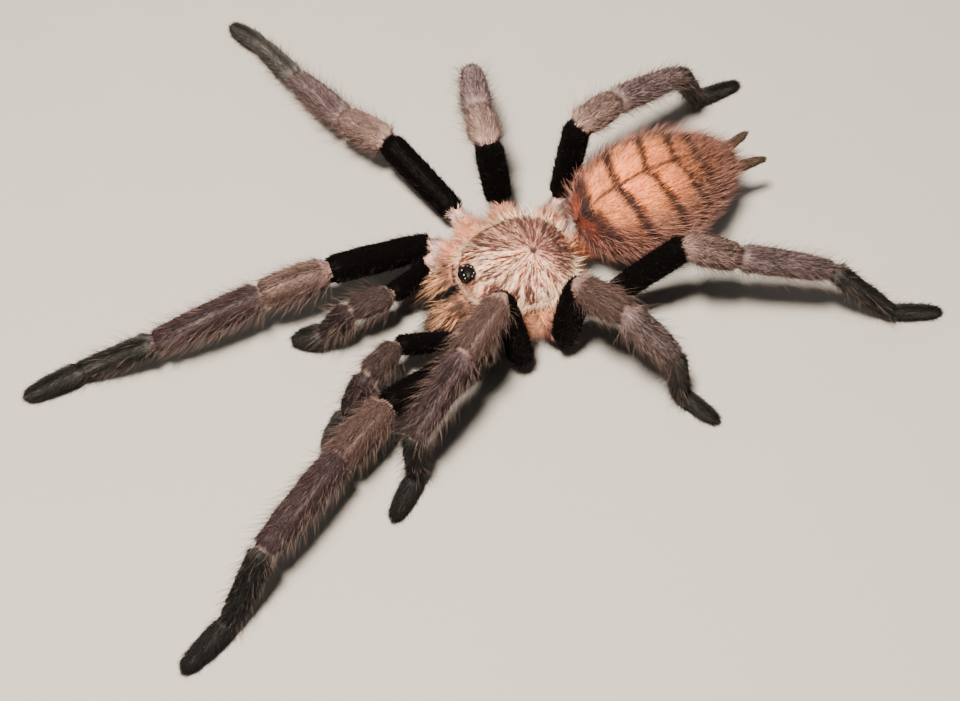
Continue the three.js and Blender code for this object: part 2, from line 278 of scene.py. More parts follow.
skin = {
    "voxel": 0.42 * mm,
    "smoothing": 6,
    "depth": {      # mm inside the CAD solids, which reach the tips of the coat
        "coxae": 0.62, "pedicel": 0.2, "abdomen": 0.42, "spinneret": 0.05, "femur": 0.2,
        "patella": 0.27, "tibia": 0.27, "metatarsus": 0.2, "tarsus": 0.14,
    },
    "jointDip": 0.3,        # mm deeper where two segments meet
    "jointReach": 0.55,     # mm either side of the joint
    "floor": 0.1 * mm,
    "fingerRadius": 0.56 * mm, "fingerStretch": 0.05,
}

for vertex, spot in moves:
    vertex.co = spot + (spot - vertex.co).normalized() * fits["overlap"]
whole = bmesh.new()
for node in fleshNodes:
    part = bpy.data.meshes.new("part")
    fleshMeshes[node].to_mesh(part)
    whole.from_mesh(part)
    bpy.data.meshes.remove(part)
rough = fromBmesh("roughFlesh", whole, [])
remesh = rough.modifiers.new("remesh", "REMESH")
remesh.mode = "VOXEL"
remesh.voxel_size = skin["voxel"]
softer = rough.modifiers.new("soften", "SMOOTH")
softer.factor = 0.5
softer.iterations = skin["smoothing"]
evaluated = rough.evaluated_get(bpy.context.evaluated_depsgraph_get())
skinMesh = bpy.data.meshes.new_from_object(evaluated)
bpy.data.objects.remove(rough)
skinMesh.name = "skin"
print("skin faces:", len(skinMesh.polygons))

joined = bmesh.new()
nodeOfFace = []
for index, node in enumerate(fleshNodes):
    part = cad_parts[node].data
    joined.from_mesh(part)
    nodeOfFace += [index] * len(part.polygons)
joined.faces.ensure_lookup_table()
allTree = BVHTree.FromBMesh(joined)
joined.free()


def ownersOf(points, normals):
    # the node nearest to each point, and how deep the point lies inside it, in mm
    found, inside = np.empty(len(points), dtype=int), np.empty(len(points))
    for k, point in enumerate(points):
        spot, _, face, _ = allTree.find_nearest(point)
        found[k] = nodeOfFace[face]
        inside[k] = (spot - Vector(point)).dot(Vector(normals[k])) / mm
    return found, inside


def neighbourAverage(values, edges, count):
    total = np.empty_like(values)
    share = np.bincount(edges[:, 0], minlength=count) + np.bincount(edges[:, 1], minlength=count) + 1
    for axis in range(values.shape[1]):
        column = values[:, axis]
        total[:, axis] = column
        total[:, axis] += np.bincount(edges[:, 0], column[edges[:, 1]], count)
        total[:, axis] += np.bincount(edges[:, 1], column[edges[:, 0]], count)
    return total / share[:, None]


edges = readArray(skinMesh.edges, "vertices", 2, np.int32)
for turn in range(2):
    skinPoints = pointsOf(skinMesh)
    skinNormals = normalsOf(skinMesh)
    skinOwner, skinInside = ownersOf(skinPoints, skinNormals)
    skinPlace = placeOf(skinPoints, skinOwner)
    wanted = np.array([skin["depth"][kind] for kind in kindOf])[skinOwner]
    onLimb = kindIndex[skinOwner] >= femurKind
    dips = [
        np.exp(-((skinPlace[way] / skin["jointReach"]) ** 2)) * (kindIndex[skinOwner] != smooth)
        for way, smooth in (("left", metatarsusKind), ("run", tarsusKind))
    ]
    wanted = wanted + skin["jointDip"] * np.maximum(*dips) * onLimb * (skinPlace["limbShare"] < 0.97)
    sink = (wanted - np.clip(skinInside, -0.1, 0.8))[:, None]
    for _ in range(4):
        sink = neighbourAverage(sink, edges, len(skinPoints))
    skinPoints = skinPoints - skinNormals * sink * mm
    skinPoints[:, 2] = np.maximum(skinPoints[:, 2], skin["floor"])
    skinMesh.vertices.foreach_set("co", skinPoints.ravel())
    skinMesh.update()
# The spinnerets are blunt fingers, as thick at the end as in the middle
skinPlace = placeOf(skinPoints, skinOwner)
finger = (kindIndex[skinOwner] == spinneretKind) & (skinPlace["share"] > 0.1)
fingerStart, fingerAxis = (seatArrays[key][skinOwner[finger]] for key in ("start", "axis"))
share, run = skinPlace["share"][finger], (skinPlace["run"][finger] * mm)[:, None]
along = run * (1 + skin["fingerStretch"] * share)[:, None] * fingerAxis
across = skinPoints[finger] - fingerStart
across = across - fingerAxis * run
rounding = np.sqrt(np.clip(1 - (np.clip(share - 0.86, 0, 1) / 0.14) ** 2, 0.02, 1))
radius = np.linalg.norm(across, axis=1)
wantedRadius = np.maximum(radius, skin["fingerRadius"] * smoothStep(0.1, 0.3, share)) * rounding
skinPoints[finger] = fingerStart + along + unit(across) * wantedRadius[:, None]
skinMesh.vertices.foreach_set("co", skinPoints.ravel())
skinMesh.update()
skinMesh.shade_smooth()
skinNormals = normalsOf(skinMesh)

# The lie of the coat: along each limb, back over the abdomen, and outwards over the coxae
lie = seatArrays["axis"][skinOwner].copy()
outward = skinPoints - trunkMiddle
outward[:, 2] = 0
onCoxae = kindIndex[skinOwner] == coxaeKind
lie[onCoxae] = unit(outward)[onCoxae]
for _ in range(14):
    lie = unit(neighbourAverage(alongSurface(lie, skinNormals), edges, len(skinPoints)))
lie = alongSurface(lie, skinNormals)
print("skin and lie done")


# Markings, as masks from 0 to 1 that the skin and the coat share

abdomenBands = {
    "nodes": [1.7, 7.0, 12.5, 17.7, 21.6],      # mm from the front, along the back
    "halfWidth": [0.75, 0.58, 0.56, 0.5, 0.6],
    "slant": [0.16, 0.19, 0.22, 0.2, 0.1],      # how far back each runs for every mm outwards
    "midline": (1.8, 18.5, 0.26),    # where it starts and ends, and half its width
    "blotch": 0.8,
}


# How much greyer and paler each limb is painted, for its patella, its tibia and its foot: greyer towards the
# rear legs, with painted light on the lit right legs and painted shade on the near left legs and palps; less
# than 0 is darker
limbGreyAndLight = {
    "left_leg_1": (-0.12, -0.12, -0.2), "left_leg_2": (-0.06, 0.02, -0.15), "left_leg_3": (-0.12, 0.3, 0.0),
    "left_leg_4": (0.3, 0.3, 0.06), "right_leg_1": (0.08, -0.02, 0.06), "right_leg_2": (0.4, 0.32, 0.3),
    "right_leg_3": (0.55, 0.6, 0.3), "right_leg_4": (0.5, 0.5, 0.06), "palp": (-0.4, -0.3, 0.1),
}


def limbGreyAndLightOf(node):
    *name, segment = node.split("_")
    greysAndLights = limbGreyAndLight.get("_".join(name), limbGreyAndLight["palp"])
    return greysAndLights[{"patella": 0, "tibia": 1}.get(segment, 2)]


limbGreysAndLights = np.array([limbGreyAndLightOf(node) for node in fleshNodes])


def paintAbdomen(place):
    run, around = place["run"], np.abs(place["turn"]) * 9.2
    wobble = (softNoise(place["turn"] * 6, run / 1.3) - 0.5) * 0.6
    fuzz = (softNoise(place["turn"] * 20, run / 0.35, 7) - 0.5) * 0.5
    mark = np.zeros(len(run))
    for spot, half, slant in zip(*(abdomenBands[key] for key in ("nodes", "halfWidth", "slant"))):
        gap = np.abs(run - spot - slant * around + wobble) + fuzz
        wide = half * (1 + around / 18)
        strength = 0.97 - 0.6 * smoothStep(12, 18, around) - 0.1 * (spot < 2) * smoothStep(1.5, 6, around)
        mark = np.maximum(mark, strength * (1 - smoothStep(wide * 0.5, wide * 1.6, gap)))
        blotch = np.hypot(run - spot + 0.3, around * 1.2) + fuzz
        size = abdomenBands["blotch"]
        mark = np.maximum(mark, 0.9 * (1 - smoothStep(size * 0.4, size * 1.5, blotch)))
    first, last, half = abdomenBands["midline"]
    along = smoothStep(first - 0.6, first + 0.6, run) * (1 - smoothStep(last, last + 1.5, run))
    aside = around + wobble * 0.4 + fuzz * 0.4
    mark = np.maximum(mark, 0.85 * along * (1 - smoothStep(half * 0.6, half * 2.4, aside)))
    mark = np.maximum(mark, 0.75 * smoothStep(15, 22, around))
    mark = np.maximum(mark, 0.3 * smoothStep(18, 25, run) + 0.45 * smoothStep(8, 15, around))
    front = 0.97 * (1 - smoothStep(1.2, 2.8, run - 0.16 * around))      # the reddish front
    behind = (0.2 + 0.3 * smoothStep(6, 12, around)) * (1 - smoothStep(6.8, 8.2, run - 0.19 * around))
    front = np.maximum(front, behind)
    bright = smoothStep(6.5, 8.5, run) * (1 - smoothStep(15, 18, run)) * (1 - smoothStep(4, 8, around))
    mauve = 0.26 * (1 - bright) + 0.5 * smoothStep(15, 21, run) + 0.75 * smoothStep(5, 11, around)
    return mark, front, np.clip(mauve + (fuzz + wobble) * 0.3, 0, 1)


def paintLimb(place, owner):
    kind = kindIndex[owner]
    share, turn = place["share"], place["turn"]
    palp, greyAndLight = isPalp[owner], limbGreysAndLights[owner]
    # pale rings at the ends of the patella and the tibia, and where the femur ends
    knee = np.isin(kind, (patellaKind, tibiaKind))
    ring = (1 - smoothStep(0.1, 0.45, place["left"])) * (0.3 * knee)
    ring = np.maximum(ring, 0.45 * (1 - smoothStep(0.15, 0.5, place["run"])) * (kind == patellaKind))
    stripes = softNoise(turn * 2.6, place["run"] / 6, 3) - 0.45
    bare = np.exp(-(((np.abs(turn) - 0.4) / 0.13) ** 2)) * knee * smoothStep(0.05, 0.3, share)
    # pale stripes and lines, plus each limb's grey and painted light
    pale = np.clip(bare * 0.15 + stripes * 0.4 + greyAndLight, 0, 0.75)
    pale = pale * np.select([kind >= tarsusKind, kind >= patellaKind], [0.5, 1.0], 0)
    centre = 0.6 * np.exp(-((turn / 0.3) ** 2)) * np.isin(kind, (metatarsusKind, tarsusKind))
    # painted shade: a limb painted darker where less light fell on it
    centre = np.maximum(centre, np.clip(-greyAndLight, 0, 1))
    away = np.select(
        [kind == patellaKind, kind == tibiaKind, kind == metatarsusKind, kind == tarsusKind],
        [0.05 + 0.3 * share, 0.1 + 0.5 * share, 0.1 + 0.4 * share, 0.6 + 0.4 * share], 0 * share,
    )
    # painted shade: the palps darker along their patella and tibia, their tarsus less dark
    palpPaintedShade = np.where(kind == tarsusKind, 0.2, np.minimum(away + 0.6, 1))
    away = np.where(palp & (kind != femurKind), palpPaintedShade, away)
    return centre, np.clip(ring, 0, 1), pale, away


def masksOf(points, normals, owner):
    # the masks that the fur's materials read, for skin vertices and for the roots of hairs
    place = placeOf(points, owner)
    kind = kindIndex[owner]
    mark, second, third = np.zeros((3, len(points)))
    on = kind == abdomenKind
    if on.any():
        mark[on], second[on], third[on] = paintAbdomen({key: value[on] for key, value in place.items()})
    on = kind >= femurKind
    if on.any():
        centre, rim, pale, away = paintLimb({key: value[on] for key, value in place.items()}, owner[on])
        mark[on], second[on], third[on] = centre, np.maximum(rim, pale), away
    on = kind <= pedicelKind
    under = smoothStep(0.1, -0.5, normals[:, 2])
    out = np.linalg.norm((points - trunkMiddle)[:, :2], axis=1) / mm
    mark[on] = np.maximum(under, 0)[on]
    far = smoothStep(11.5, 13.5, out) * (1 - under)
    patches = softNoise(points[:, 0] / mm / 0.9, points[:, 1] / mm / 0.9, 12)
    left = points[:, 0] > trunkMiddle[0]
    # painted sheen: silvery hair on the trochanters, stronger on the right side
    second[on] = np.where(left, far * 0.15, far * 0.55)[on]
    # painted shade on the outer coxae of the left side
    shade = 0.8 * left * smoothStep(9, 12.5, out)
    # dark hair near the femora, and noise patches of painted shade standing for the shade between the coxae
    dark = np.maximum(far * smoothStep(0.5, 0.7, patches), smoothStep(0.66, 0.8, patches) * 0.7) * 0.8
    mark[on] = np.maximum(np.maximum(mark, dark), shade * (0.6 + 0.8 * patches))[on]
    # painted shade: darker brown on the coxae where they slope down
    downSlopeShade = 0.5 * smoothStep(0.35, -0.2, normals[:, 2])
    third[on] = (softNoise(place["turn"] * 4, place["run"], 5) + downSlopeShade)[on]
    on = kind == pedicelKind        # the waist has the red of the abdomen's front
    mark[on], second[on], third[on] = 0.0, 0.8, 0.2
    return mark, second, third


# Materials

def addNode(tree, kind, where, **settings):
    node = tree.nodes.new(kind)
    node.location = where
    for key, value in settings.items():
        setattr(node, key, value)
    return node


def setInputs(node, values):
    for socket, value in values.items():
        node.inputs[socket].default_value = value


def wire(tree, *pairs):
    for output, socket in pairs:
        tree.links.new(output, socket)


def makeCoatGroup():
    # colours one hair, or the skin under it, from its masks
    tree = bpy.data.node_groups.new("coatColour", "ShaderNodeTree")
    colours, shares = ("Coat", "Marking", "Second", "Third", "Tips"), ("Tip share", "Root shade", "Variation")
    for names, kind in ((colours, "NodeSocketColor"), (shares, "NodeSocketFloat")):
        for name in names:
            tree.interface.new_socket(name=name, in_out="INPUT", socket_type=kind)
    tree.interface.new_socket(name="Colour", in_out="OUTPUT", socket_type="NodeSocketColor")
    entry = addNode(tree, "NodeGroupInput", (-900, 0)).outputs
    leave = addNode(tree, "NodeGroupOutput", (900, 0))
    masks = {}
    for row, name in enumerate(("mark", "second", "third", "along", "tone")):
        made = addNode(tree, "ShaderNodeAttribute", (-900, -300 - 180 * row), attribute_name=name)
        masks[name] = made.outputs["Fac"]
    tipMask = addNode(tree, "ShaderNodeMath", (-400, -300), operation="MULTIPLY")
    wire(tree, (masks["along"], tipMask.inputs[0]), (entry["Tip share"], tipMask.inputs[1]))
    colour = entry["Coat"]
    steps = (
        ("Third", masks["third"]), ("Tips", tipMask.outputs[0]),
        ("Second", masks["second"]), ("Marking", masks["mark"]),
    )
    for column, (name, mask) in enumerate(steps):
        mix = addNode(tree, "ShaderNodeMix", (-600 + 200 * column, 0), data_type="RGBA")
        wire(tree, (mask, mix.inputs["Factor"]), (colour, mix.inputs[6]), (entry[name], mix.inputs[7]))
        colour = mix.outputs[2]
    # darker towards the root, as painted shade deep in the coat, and each hair a little lighter or darker
    # than the next
    rootToTip = addNode(tree, "ShaderNodeMapRange", (200, -300))
    wide = addNode(tree, "ShaderNodeMath", (0, -500), operation="SUBTRACT")
    gain = addNode(tree, "ShaderNodeMath", (200, -600), operation="MULTIPLY_ADD")
    both = addNode(tree, "ShaderNodeMath", (400, -400), operation="MULTIPLY")
    scale = addNode(tree, "ShaderNodeVectorMath", (600, 0), operation="SCALE")
    setInputs(wide, {1: 0.5})
    setInputs(gain, {2: 1.0})
    wire(
        tree, (masks["along"], rootToTip.inputs["Value"]), (entry["Root shade"], rootToTip.inputs["To Min"]),
        (masks["tone"], wide.inputs[0]), (wide.outputs[0], gain.inputs[0]),
        (entry["Variation"], gain.inputs[1]),
        (rootToTip.outputs[0], both.inputs[0]), (gain.outputs[0], both.inputs[1]),
        (colour, scale.inputs[0]), (both.outputs[0], scale.inputs["Scale"]),
        (scale.outputs[0], leave.inputs["Colour"]),
    )
    return tree


coatGroup = makeCoatGroup()


def startMaterial(name, grain, detail, roughness, strength, depth):
    # a surface whose roughness and fine pits follow one noise
    made = bpy.data.materials.new(name)
    made.use_nodes = True
    tree = made.node_tree
    surface = tree.nodes["Principled BSDF"]
    coordinates = addNode(tree, "ShaderNodeTexCoord", (-900, -200))
    noise = addNode(tree, "ShaderNodeTexNoise", (-700, -200))
    spread = addNode(tree, "ShaderNodeMapRange", (-500, -100))
    bump = addNode(tree, "ShaderNodeBump", (-300, -300))
    setInputs(noise, {"Scale": grain, "Detail": detail})
    setInputs(spread, {"To Min": roughness[0], "To Max": roughness[1]})
    setInputs(bump, {"Strength": strength, "Distance": depth})
    wire(
        tree, (coordinates.outputs["Object"], noise.inputs["Vector"]),
        (noise.outputs["Fac"], spread.inputs["Value"]), (noise.outputs["Fac"], bump.inputs["Height"]),
        (spread.outputs[0], surface.inputs["Roughness"]),
        (bump.outputs["Normal"], surface.inputs["Normal"]),
    )
    return made, tree, surface, noise


furSurface = {"grain": 1500, "detail": 3, "roughness": (0.52, 0.74), "strength": 0.35, "depth": 0.00015}
shellSurface = {"detail": 4, "strength": 0.3}


def furMaterial(name, coat, marking, second, third, tips, tipShare, rootShade, variation,
                sheen=0.05, specular=0.22):
    made, tree, surface, _ = startMaterial(name, **furSurface)
    group = addNode(tree, "ShaderNodeGroup", (-400, 200), node_tree=coatGroup)
    colours = {"Coat": coat, "Marking": marking, "Second": second, "Third": third, "Tips": tips}
    setInputs(group, {socket: hexColour(colour) for socket, colour in colours.items()})
    setInputs(group, {"Tip share": tipShare, "Root shade": rootShade, "Variation": variation})
    wire(tree, (group.outputs["Colour"], surface.inputs["Base Color"]))
    setInputs(surface, {"Sheen Weight": sheen, "Sheen Roughness": 0.4, "Sheen Tint": hexColour(tips)})
    setInputs(surface, {"Specular IOR Level": specular})
    return made


def shellMaterial(name, colour, other, roughness, grain=900, coatWeight=0.0, depth=0.00004, specular=0.5):
    # bare cuticle: mottled, finely pitted
    rough = (roughness * 0.8, roughness * 1.3)
    made, tree, surface, noise = startMaterial(
        name, grain=grain, roughness=rough, depth=depth, **shellSurface,
    )
    mix = addNode(tree, "ShaderNodeMix", (-400, 100), data_type="RGBA")
    setInputs(mix, {6: hexColour(colour), 7: hexColour(other)})
    wire(tree, (noise.outputs["Fac"], mix.inputs["Factor"]), (mix.outputs[2], surface.inputs["Base Color"]))
    setInputs(surface, {"Specular IOR Level": specular, "Coat Weight": coatWeight, "Coat Roughness": 0.05})
    return made


furRecipes = {
    # coat, marking, second, third and tips; the share of the tips, the painted shade at the roots, and how
    # much hairs vary; and for two, the sheen and the specular level
    "abdomen": ("ff9052 180e14 642a1e 58303a ffb880", 0.5, 0.6, 0.9),
    "patella": ("3c2c29 100d0e b4958b 241a1b 664c44", 0.45, 0.5, 1.0),
    "tibia": ("2a1d21 0a080a 9c8686 181114 50383a", 0.4, 0.45, 0.9),
    "foot": ("1b1d1d 040505 84807c 0c0e0f 383634", 0.4, 0.5, 1.0, 0.05, 0.1),
    "femur": ("020101 020101 020101 020101 040303", 0.4, 0.6, 0.6, 0.0, 0.04),
    "coxae": ("dc8660 2e1c1c d8ccd0 74403a ffd0a8", 0.4, 0.6, 1.0),
    "spinneret": ("34281c 4c4236 4c4236 4c4236 6c5440", 0.4, 0.5, 0.6),
    "carapace": ("ec8c6c 321a1a fff0d0 884e48 ffd0b4", 0.1, 0.65, 0.9),
    "chelicera": ("ffac76 0a0608 342c2b c47050 ffe6c4", 0.45, 0.6, 1.0),
    "bristle": ("40302c 0c090a 4c3832 685650 987e74", 0.7, 0.7, 0.6),
    "abdomenBristle": ("4c2c30 120c0e 4c2c30 6c423e d89c88", 0.75, 0.7, 0.5),
}
furs = {}
for key, (colours, *shares) in furRecipes.items():
    furs[key] = furMaterial({"coxae": "coxa"}.get(key, key) + "Fur", *colours.split(), *shares)
furOfKind = {
    kind: {"pedicel": "abdomen", "metatarsus": "foot", "tarsus": "foot"}.get(kind, kind) for kind in kinds
}
furOrder = ["coxae", "abdomen", "spinneret", "femur", "patella", "tibia", "foot"]
limbFurs = furOrder[3:]
furIndexOfKind = np.array([furOrder.index(furOfKind[kind]) for kind in kinds])
eyeGloss = shellMaterial("eyeGloss", "020102", "050304", 0.2, depth=0.000001)
tubercleShell = shellMaterial("tubercleShell", "020101", "0a0506", 0.4, specular=0.12)
fangGloss = shellMaterial("fangGloss", "0c0605", "1c0e0a", 0.18, coatWeight=0.4, depth=0.00001)
clawShell = shellMaterial("clawShell", "120e0c", "241c16", 0.3)
print("materials done")

mark, second, third = masksOf(skinPoints, skinNormals, skinOwner)
addMasks(skinMesh, mark, second, third, softNoise(skinPlace["turn"] * 9, skinPlace["run"] * 0.8))
faceFirst = readArray(skinMesh.polygons, "loop_start", kind=np.int32)
firstVertex = readArray(skinMesh.loops, "vertex_index", kind=np.int32)[faceFirst]
surfaceOf = furIndexOfKind[kindIndex[skinOwner[firstVertex]]]
skinMesh.polygons.foreach_set("material_index", surfaceOf.astype(np.int32))
skinPiece = addObject("skin", skinMesh, [furs[name] for name in furOrder])
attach(skinPiece, "root")
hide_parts(*fleshNodes)


# Hairs: closed tapering spikes, joined in arrays

def hairFaces(rings):
    faces = [(0, 2, 1)]
    for ring in range(rings - 1):
        for k in range(3):
            a, b = 3 * ring + k, 3 * ring + (k + 1) % 3
            faces += [(a, b, b + 3), (a, b + 3, a + 3)]
    top = 3 * rings
    for k in range(3):
        faces.append((top - 3 + k, top - 3 + (k + 1) % 3, top))
    return np.array(faces)


floorGap = 0.00002      # nothing reaches lower than this
hairSink = 0.12 * mm    # how deep the roots stand in the skin


def growHairs(root, normal, lay, length, width, lift, bend, swing, rings):
    # lift is the angle off the skin at the root, bend what is added to it by the tip, and swing
    # the turn to the side, all in radians; lengths in mm
    count = len(root)
    across = np.cross(lay, normal)
    place = root - normal * hairSink
    step = (length * mm / rings)[:, None]
    stations = []
    for ring in range(rings):
        share = ring / rings
        angle = lift + bend * (ring + 0.5) / rings
        side = swing * (0.4 + 0.6 * (ring + 0.5) / rings)
        flat = lay * np.cos(side)[:, None] + across * np.sin(side)[:, None]
        way = flat * np.cos(angle)[:, None] + normal * np.sin(angle)[:, None]
        out = unit(np.cross(np.cross(way, normal), way))
        beside = np.cross(way, out)
        half = (width * mm * (1 - 0.75 * share) / 2)[:, None]
        stations += [place + beside * half, place - beside * half, place + out * half * 1.3]
        place = place + way * step
    stations.append(place)
    points = np.stack(stations, axis=1)
    points[:, :, 2] = np.maximum(points[:, :, 2], floorGap)
    return points.reshape(count, -1, 3)


class Coat:
    # gathers the hairs of one piece
    def __init__(self, name):
        self.name, self.parts = name, []

    def add(self, points, rings, masks, tone, patch, surface):
        self.parts.append((points, rings, masks, tone, patch, surface))

    def build(self, materials):
        vertices, faces, uvs, surfaces = [], [], [], []
        columns = {key: [] for key in ("mark", "second", "third", "along", "tone")}
        start = 0
        size = 0.0015       # half of each hair's patch on the unwrap
        for points, rings, masks, tone, patch, surface in self.parts:
            count, each = points.shape[0], points.shape[1]
            pattern = hairFaces(rings)
            faces.append((pattern[None] + (start + np.arange(count) * each)[:, None, None]).reshape(-1, 3))
            vertices.append(points.reshape(-1, 3))
            rise = np.append(np.repeat(np.arange(rings) / rings, 3), 1.0)
            offsets = np.stack([
                np.append(np.tile([size, -size, 0.0], rings), 0.0) * (1 - 0.6 * rise),
                -size + 2 * size * rise + np.append(np.tile([0, 0, size * 0.5], rings), 0.0) * (1 - rise),
            ], axis=1)
            uvs.append((patch[:, None, :] + offsets[None]).reshape(-1, 2))
            columns["along"].append(np.tile(rise, count))
            columns["tone"].append(np.repeat(tone, each))
            for key, values in zip(("mark", "second", "third"), masks):
                columns[key].append(np.repeat(values, each))
            surfaces.append(np.repeat(surface, len(pattern)))
            start += count * each
        vertices, faces, uvs = np.concatenate(vertices), np.concatenate(faces), np.concatenate(uvs)
        mesh = bpy.data.meshes.new(self.name)
        mesh.vertices.add(len(vertices))
        mesh.vertices.foreach_set("co", vertices.ravel())
        mesh.loops.add(len(faces) * 3)
        mesh.loops.foreach_set("vertex_index", faces.ravel().astype(np.int32))
        mesh.polygons.add(len(faces))
        mesh.polygons.foreach_set("loop_start", np.arange(len(faces), dtype=np.int32) * 3)
        mesh.polygons.foreach_set("material_index", np.concatenate(surfaces).astype(np.int32))
        mesh.update(calc_edges=True)
        layer = mesh.uv_layers.new(name="OFBake")
        layer.data.foreach_set("uv", uvs[faces.ravel()].ravel())
        for key, values in columns.items():
            addAttribute(mesh, key, np.concatenate(values))
        mesh.shade_smooth()
        made = addObject(self.name, mesh, materials)
        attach(made, "root")
        print(self.name, "triangles", len(faces))


random = np.random.default_rng(seedOf)      # every coat draws from this in turn


def scatter(points, triangles, normals, lays, density):
    # roots over the triangles, so many per square millimetre
    density = np.broadcast_to(density, len(points))
    a, b, c = (points[triangles[:, k]] for k in range(3))
    area = np.linalg.norm(np.cross(b - a, c - a), axis=1) / 2 / mm ** 2
    wanted = area * density[triangles].mean(axis=1)
    counts = np.floor(wanted + random.random(len(wanted))).astype(int)
    chosen = np.repeat(np.arange(len(triangles)), counts)
    u, v = random.random(len(chosen)), random.random(len(chosen))
    over = u + v > 1
    u[over], v[over] = 1 - u[over], 1 - v[over]
    weights = np.stack([1 - u - v, u, v], axis=1)[:, :, None]
    corners = triangles[chosen]
    root = (points[corners] * weights).sum(axis=1)
    normal = unit((normals[corners] * weights).sum(axis=1))
    lay = alongSurface(unit((lays[corners] * weights).sum(axis=1)), normal)
    return root, normal, lay, corners[:, 0]


skinTriangles = trianglesOf(skinMesh)


def trianglesOn(kind, cells):
    owns = np.array([k == kind and seats[node]["cell"] in cells for k, node in zip(kindOf, fleshNodes)])
    return skinTriangles[owns[skinOwner[skinTriangles[:, 0]]]]


# How each part's coat grows
velvet = {
    # hairs per square mm, length and width in mm, lift and bend in degrees, rings in each hair,
    # how far the locks swirl, and the share that stray
    "coxae": (32, 1.9, 0.095, 22, 0, 1, 0.9, 0.12),
    "pedicel": (30, 2.6, 0.11, 50, -10, 2, 0.8, 0.2),
    "abdomen": (30, 1.3, 0.11, 24, 6, 1, 0.4, 0.04),
    "spinneret": (34, 0.7, 0.14, 22, 0, 1, 0.2, 0.05),
    "femur": (17, 1.0, 0.13, 22, 0, 1, 0.2, 0.05),
    "patella": (28, 1.35, 0.1, 17, 0, 1, 0.25, 0.06),
    "tibia": (27, 1.35, 0.1, 17, 0, 1, 0.25, 0.06),
    "metatarsus": (27, 1.2, 0.1, 18, 0, 1, 0.25, 0.06),
    "tarsus": (32, 1.05, 0.085, 25, 0, 1, 0.3, 0.08),
}


def velvetLayer(coat, chosenKinds, cells, materialOrder):
    for name in chosenKinds:
        perMm, hairLength, hairWidth, hairLift, hairBend, rings, swirl, strays = velvet[name]
        density = perMm * (1 - (0.4 * (name == "coxae")) * smoothStep(0, -0.4, skinNormals[:, 2]))
        root, normal, lay, vertex = scatter(skinPoints, trianglesOn(name, cells), skinNormals, lie, density)
        owner = skinOwner[vertex]
        count = len(root)
        place = placeOf(root, owner)
        locks = softNoise(place["turn"] * 8, place["run"] / 2.5, 1) - 0.5
        tufts = softNoise(root[:, 0] / mm / 0.7, (root[:, 1] + root[:, 2]) / mm / 0.7, 2) - 0.5
        length = hairLength * (0.7 + 0.6 * random.random(count)) * (1 + 0.3 * tufts)
        if name == "spinneret":
            length = length * (1 + 0.2 * smoothStep(0.8, 0.95, place["share"]))
        if name == "coxae":
            out = np.linalg.norm((root - trunkMiddle)[:, :2], axis=1) / mm
            gaps = smoothStep(0.8, 0.4, np.abs(normal[:, 2])) * smoothStep(12.5, 10.5, out)
            length = length * (1 + 0.35 * gaps - 0.45 * smoothStep(11.5, 13.5, out))
        if name == "abdomen":
            length = length * (1 + 0.7 * (1 - smoothStep(0.2, 1.4, place["run"])))
        if name in ("patella", "tibia"):
            length = length * (0.35 + 0.65 * smoothStep(0.1, 1.5, place["left"]))
        lift = np.radians(hairLift) * (0.6 + 0.8 * random.random(count)) * (1 + 0.4 * tufts)
        swing = (random.random(count) - 0.5) * 0.4 + locks * swirl
        if name in ("tarsus", "metatarsus"):
            pad = smoothStep(-0.25, -0.7, place["upper"])
            lift = lift + pad * np.radians(28)
            length = length * (1 - 0.25 * pad)
        if name == "coxae":
            lift = lift + gaps * np.radians(24)
        stray = random.random(count) < strays
        length = length * np.where(stray, 1.45, 1)
        lift = lift + np.where(stray, np.radians(16), 0)
        bend = np.full(count, np.radians(hairBend))
        width = hairWidth * (0.75 + 0.5 * random.random(count))
        points = growHairs(root, normal, lay, length, width, lift, bend, swing, rings)
        tone = np.clip(0.5 + 0.9 * (random.random(count) - 0.5) + 0.35 * locks, 0, 1)
        coat.add(points, rings, masksOf(root, normal, owner), tone, patchOf(place, owner, cells),
                 np.full(count, materialOrder.index(furOfKind[name])))


def patchOf(place, owner, cells):
    # the root's place on an unwrap, with one upright strip for each limb or body part
    cellOf = [seats[node]["cell"] for node in fleshNodes]
    column = np.array([cells.index(cell) if cell in cells else 0 for cell in cellOf])[owner]
    across = 0.5 + place["turn"] / (2 * math.pi)
    up = np.clip(place["limbShare"], 0, 1)
    return np.stack([(column + 0.04 + 0.92 * across) / len(cells), 0.01 + 0.98 * up], axis=1)


legPairs = {
    "left_front_legs": ["left_leg_1", "left_leg_2"],
    "left_rear_legs": ["left_leg_3", "left_leg_4"],
    "right_front_legs": ["right_leg_1", "right_leg_2"],
    "right_rear_legs": ["right_leg_3", "right_leg_4"],
    "palps": ["left_palp", "right_palp"],
}
for name, limbs in legPairs.items():
    coat = Coat(f"{name}_velvet")
    velvetLayer(coat, palpSegments if name == "palps" else legSegments, limbs, limbFurs)
    coat.build([furs[fur] for fur in limbFurs])
coat = Coat("abdomen_velvet")
velvetLayer(coat, ["abdomen"], ["abdomen"], ["abdomen"])
coat.build([furs["abdomen"]])
coat = Coat("coxa_fluff")
trunkCells = ["sternum_and_coxae", "pedicel", "left_spinneret", "right_spinneret"]
trunkFurs = ["coxae", "spinneret", "abdomen"]
velvetLayer(coat, ["coxae", "pedicel", "spinneret"], trunkCells, trunkFurs)
coat.build([furs[fur] for fur in trunkFurs])


# The shield, a shell plate of its own

shield = {
    "rings": 72, "spokes": 168, "smoothing": 4,
    "inset": 0.42 * mm,
    "foveaBehind": 3.3 * mm, "foveaRise": 1.6 * mm,
    "foveaWidth": 0.8 * mm, "foveaLength": 0.42 * mm, "foveaDepth": 0.75 * mm,
    "grooveDepth": 0.09 * mm, "grooves": 26,
    "neckAngle": 31, "neckDepth": 0.32 * mm,
}


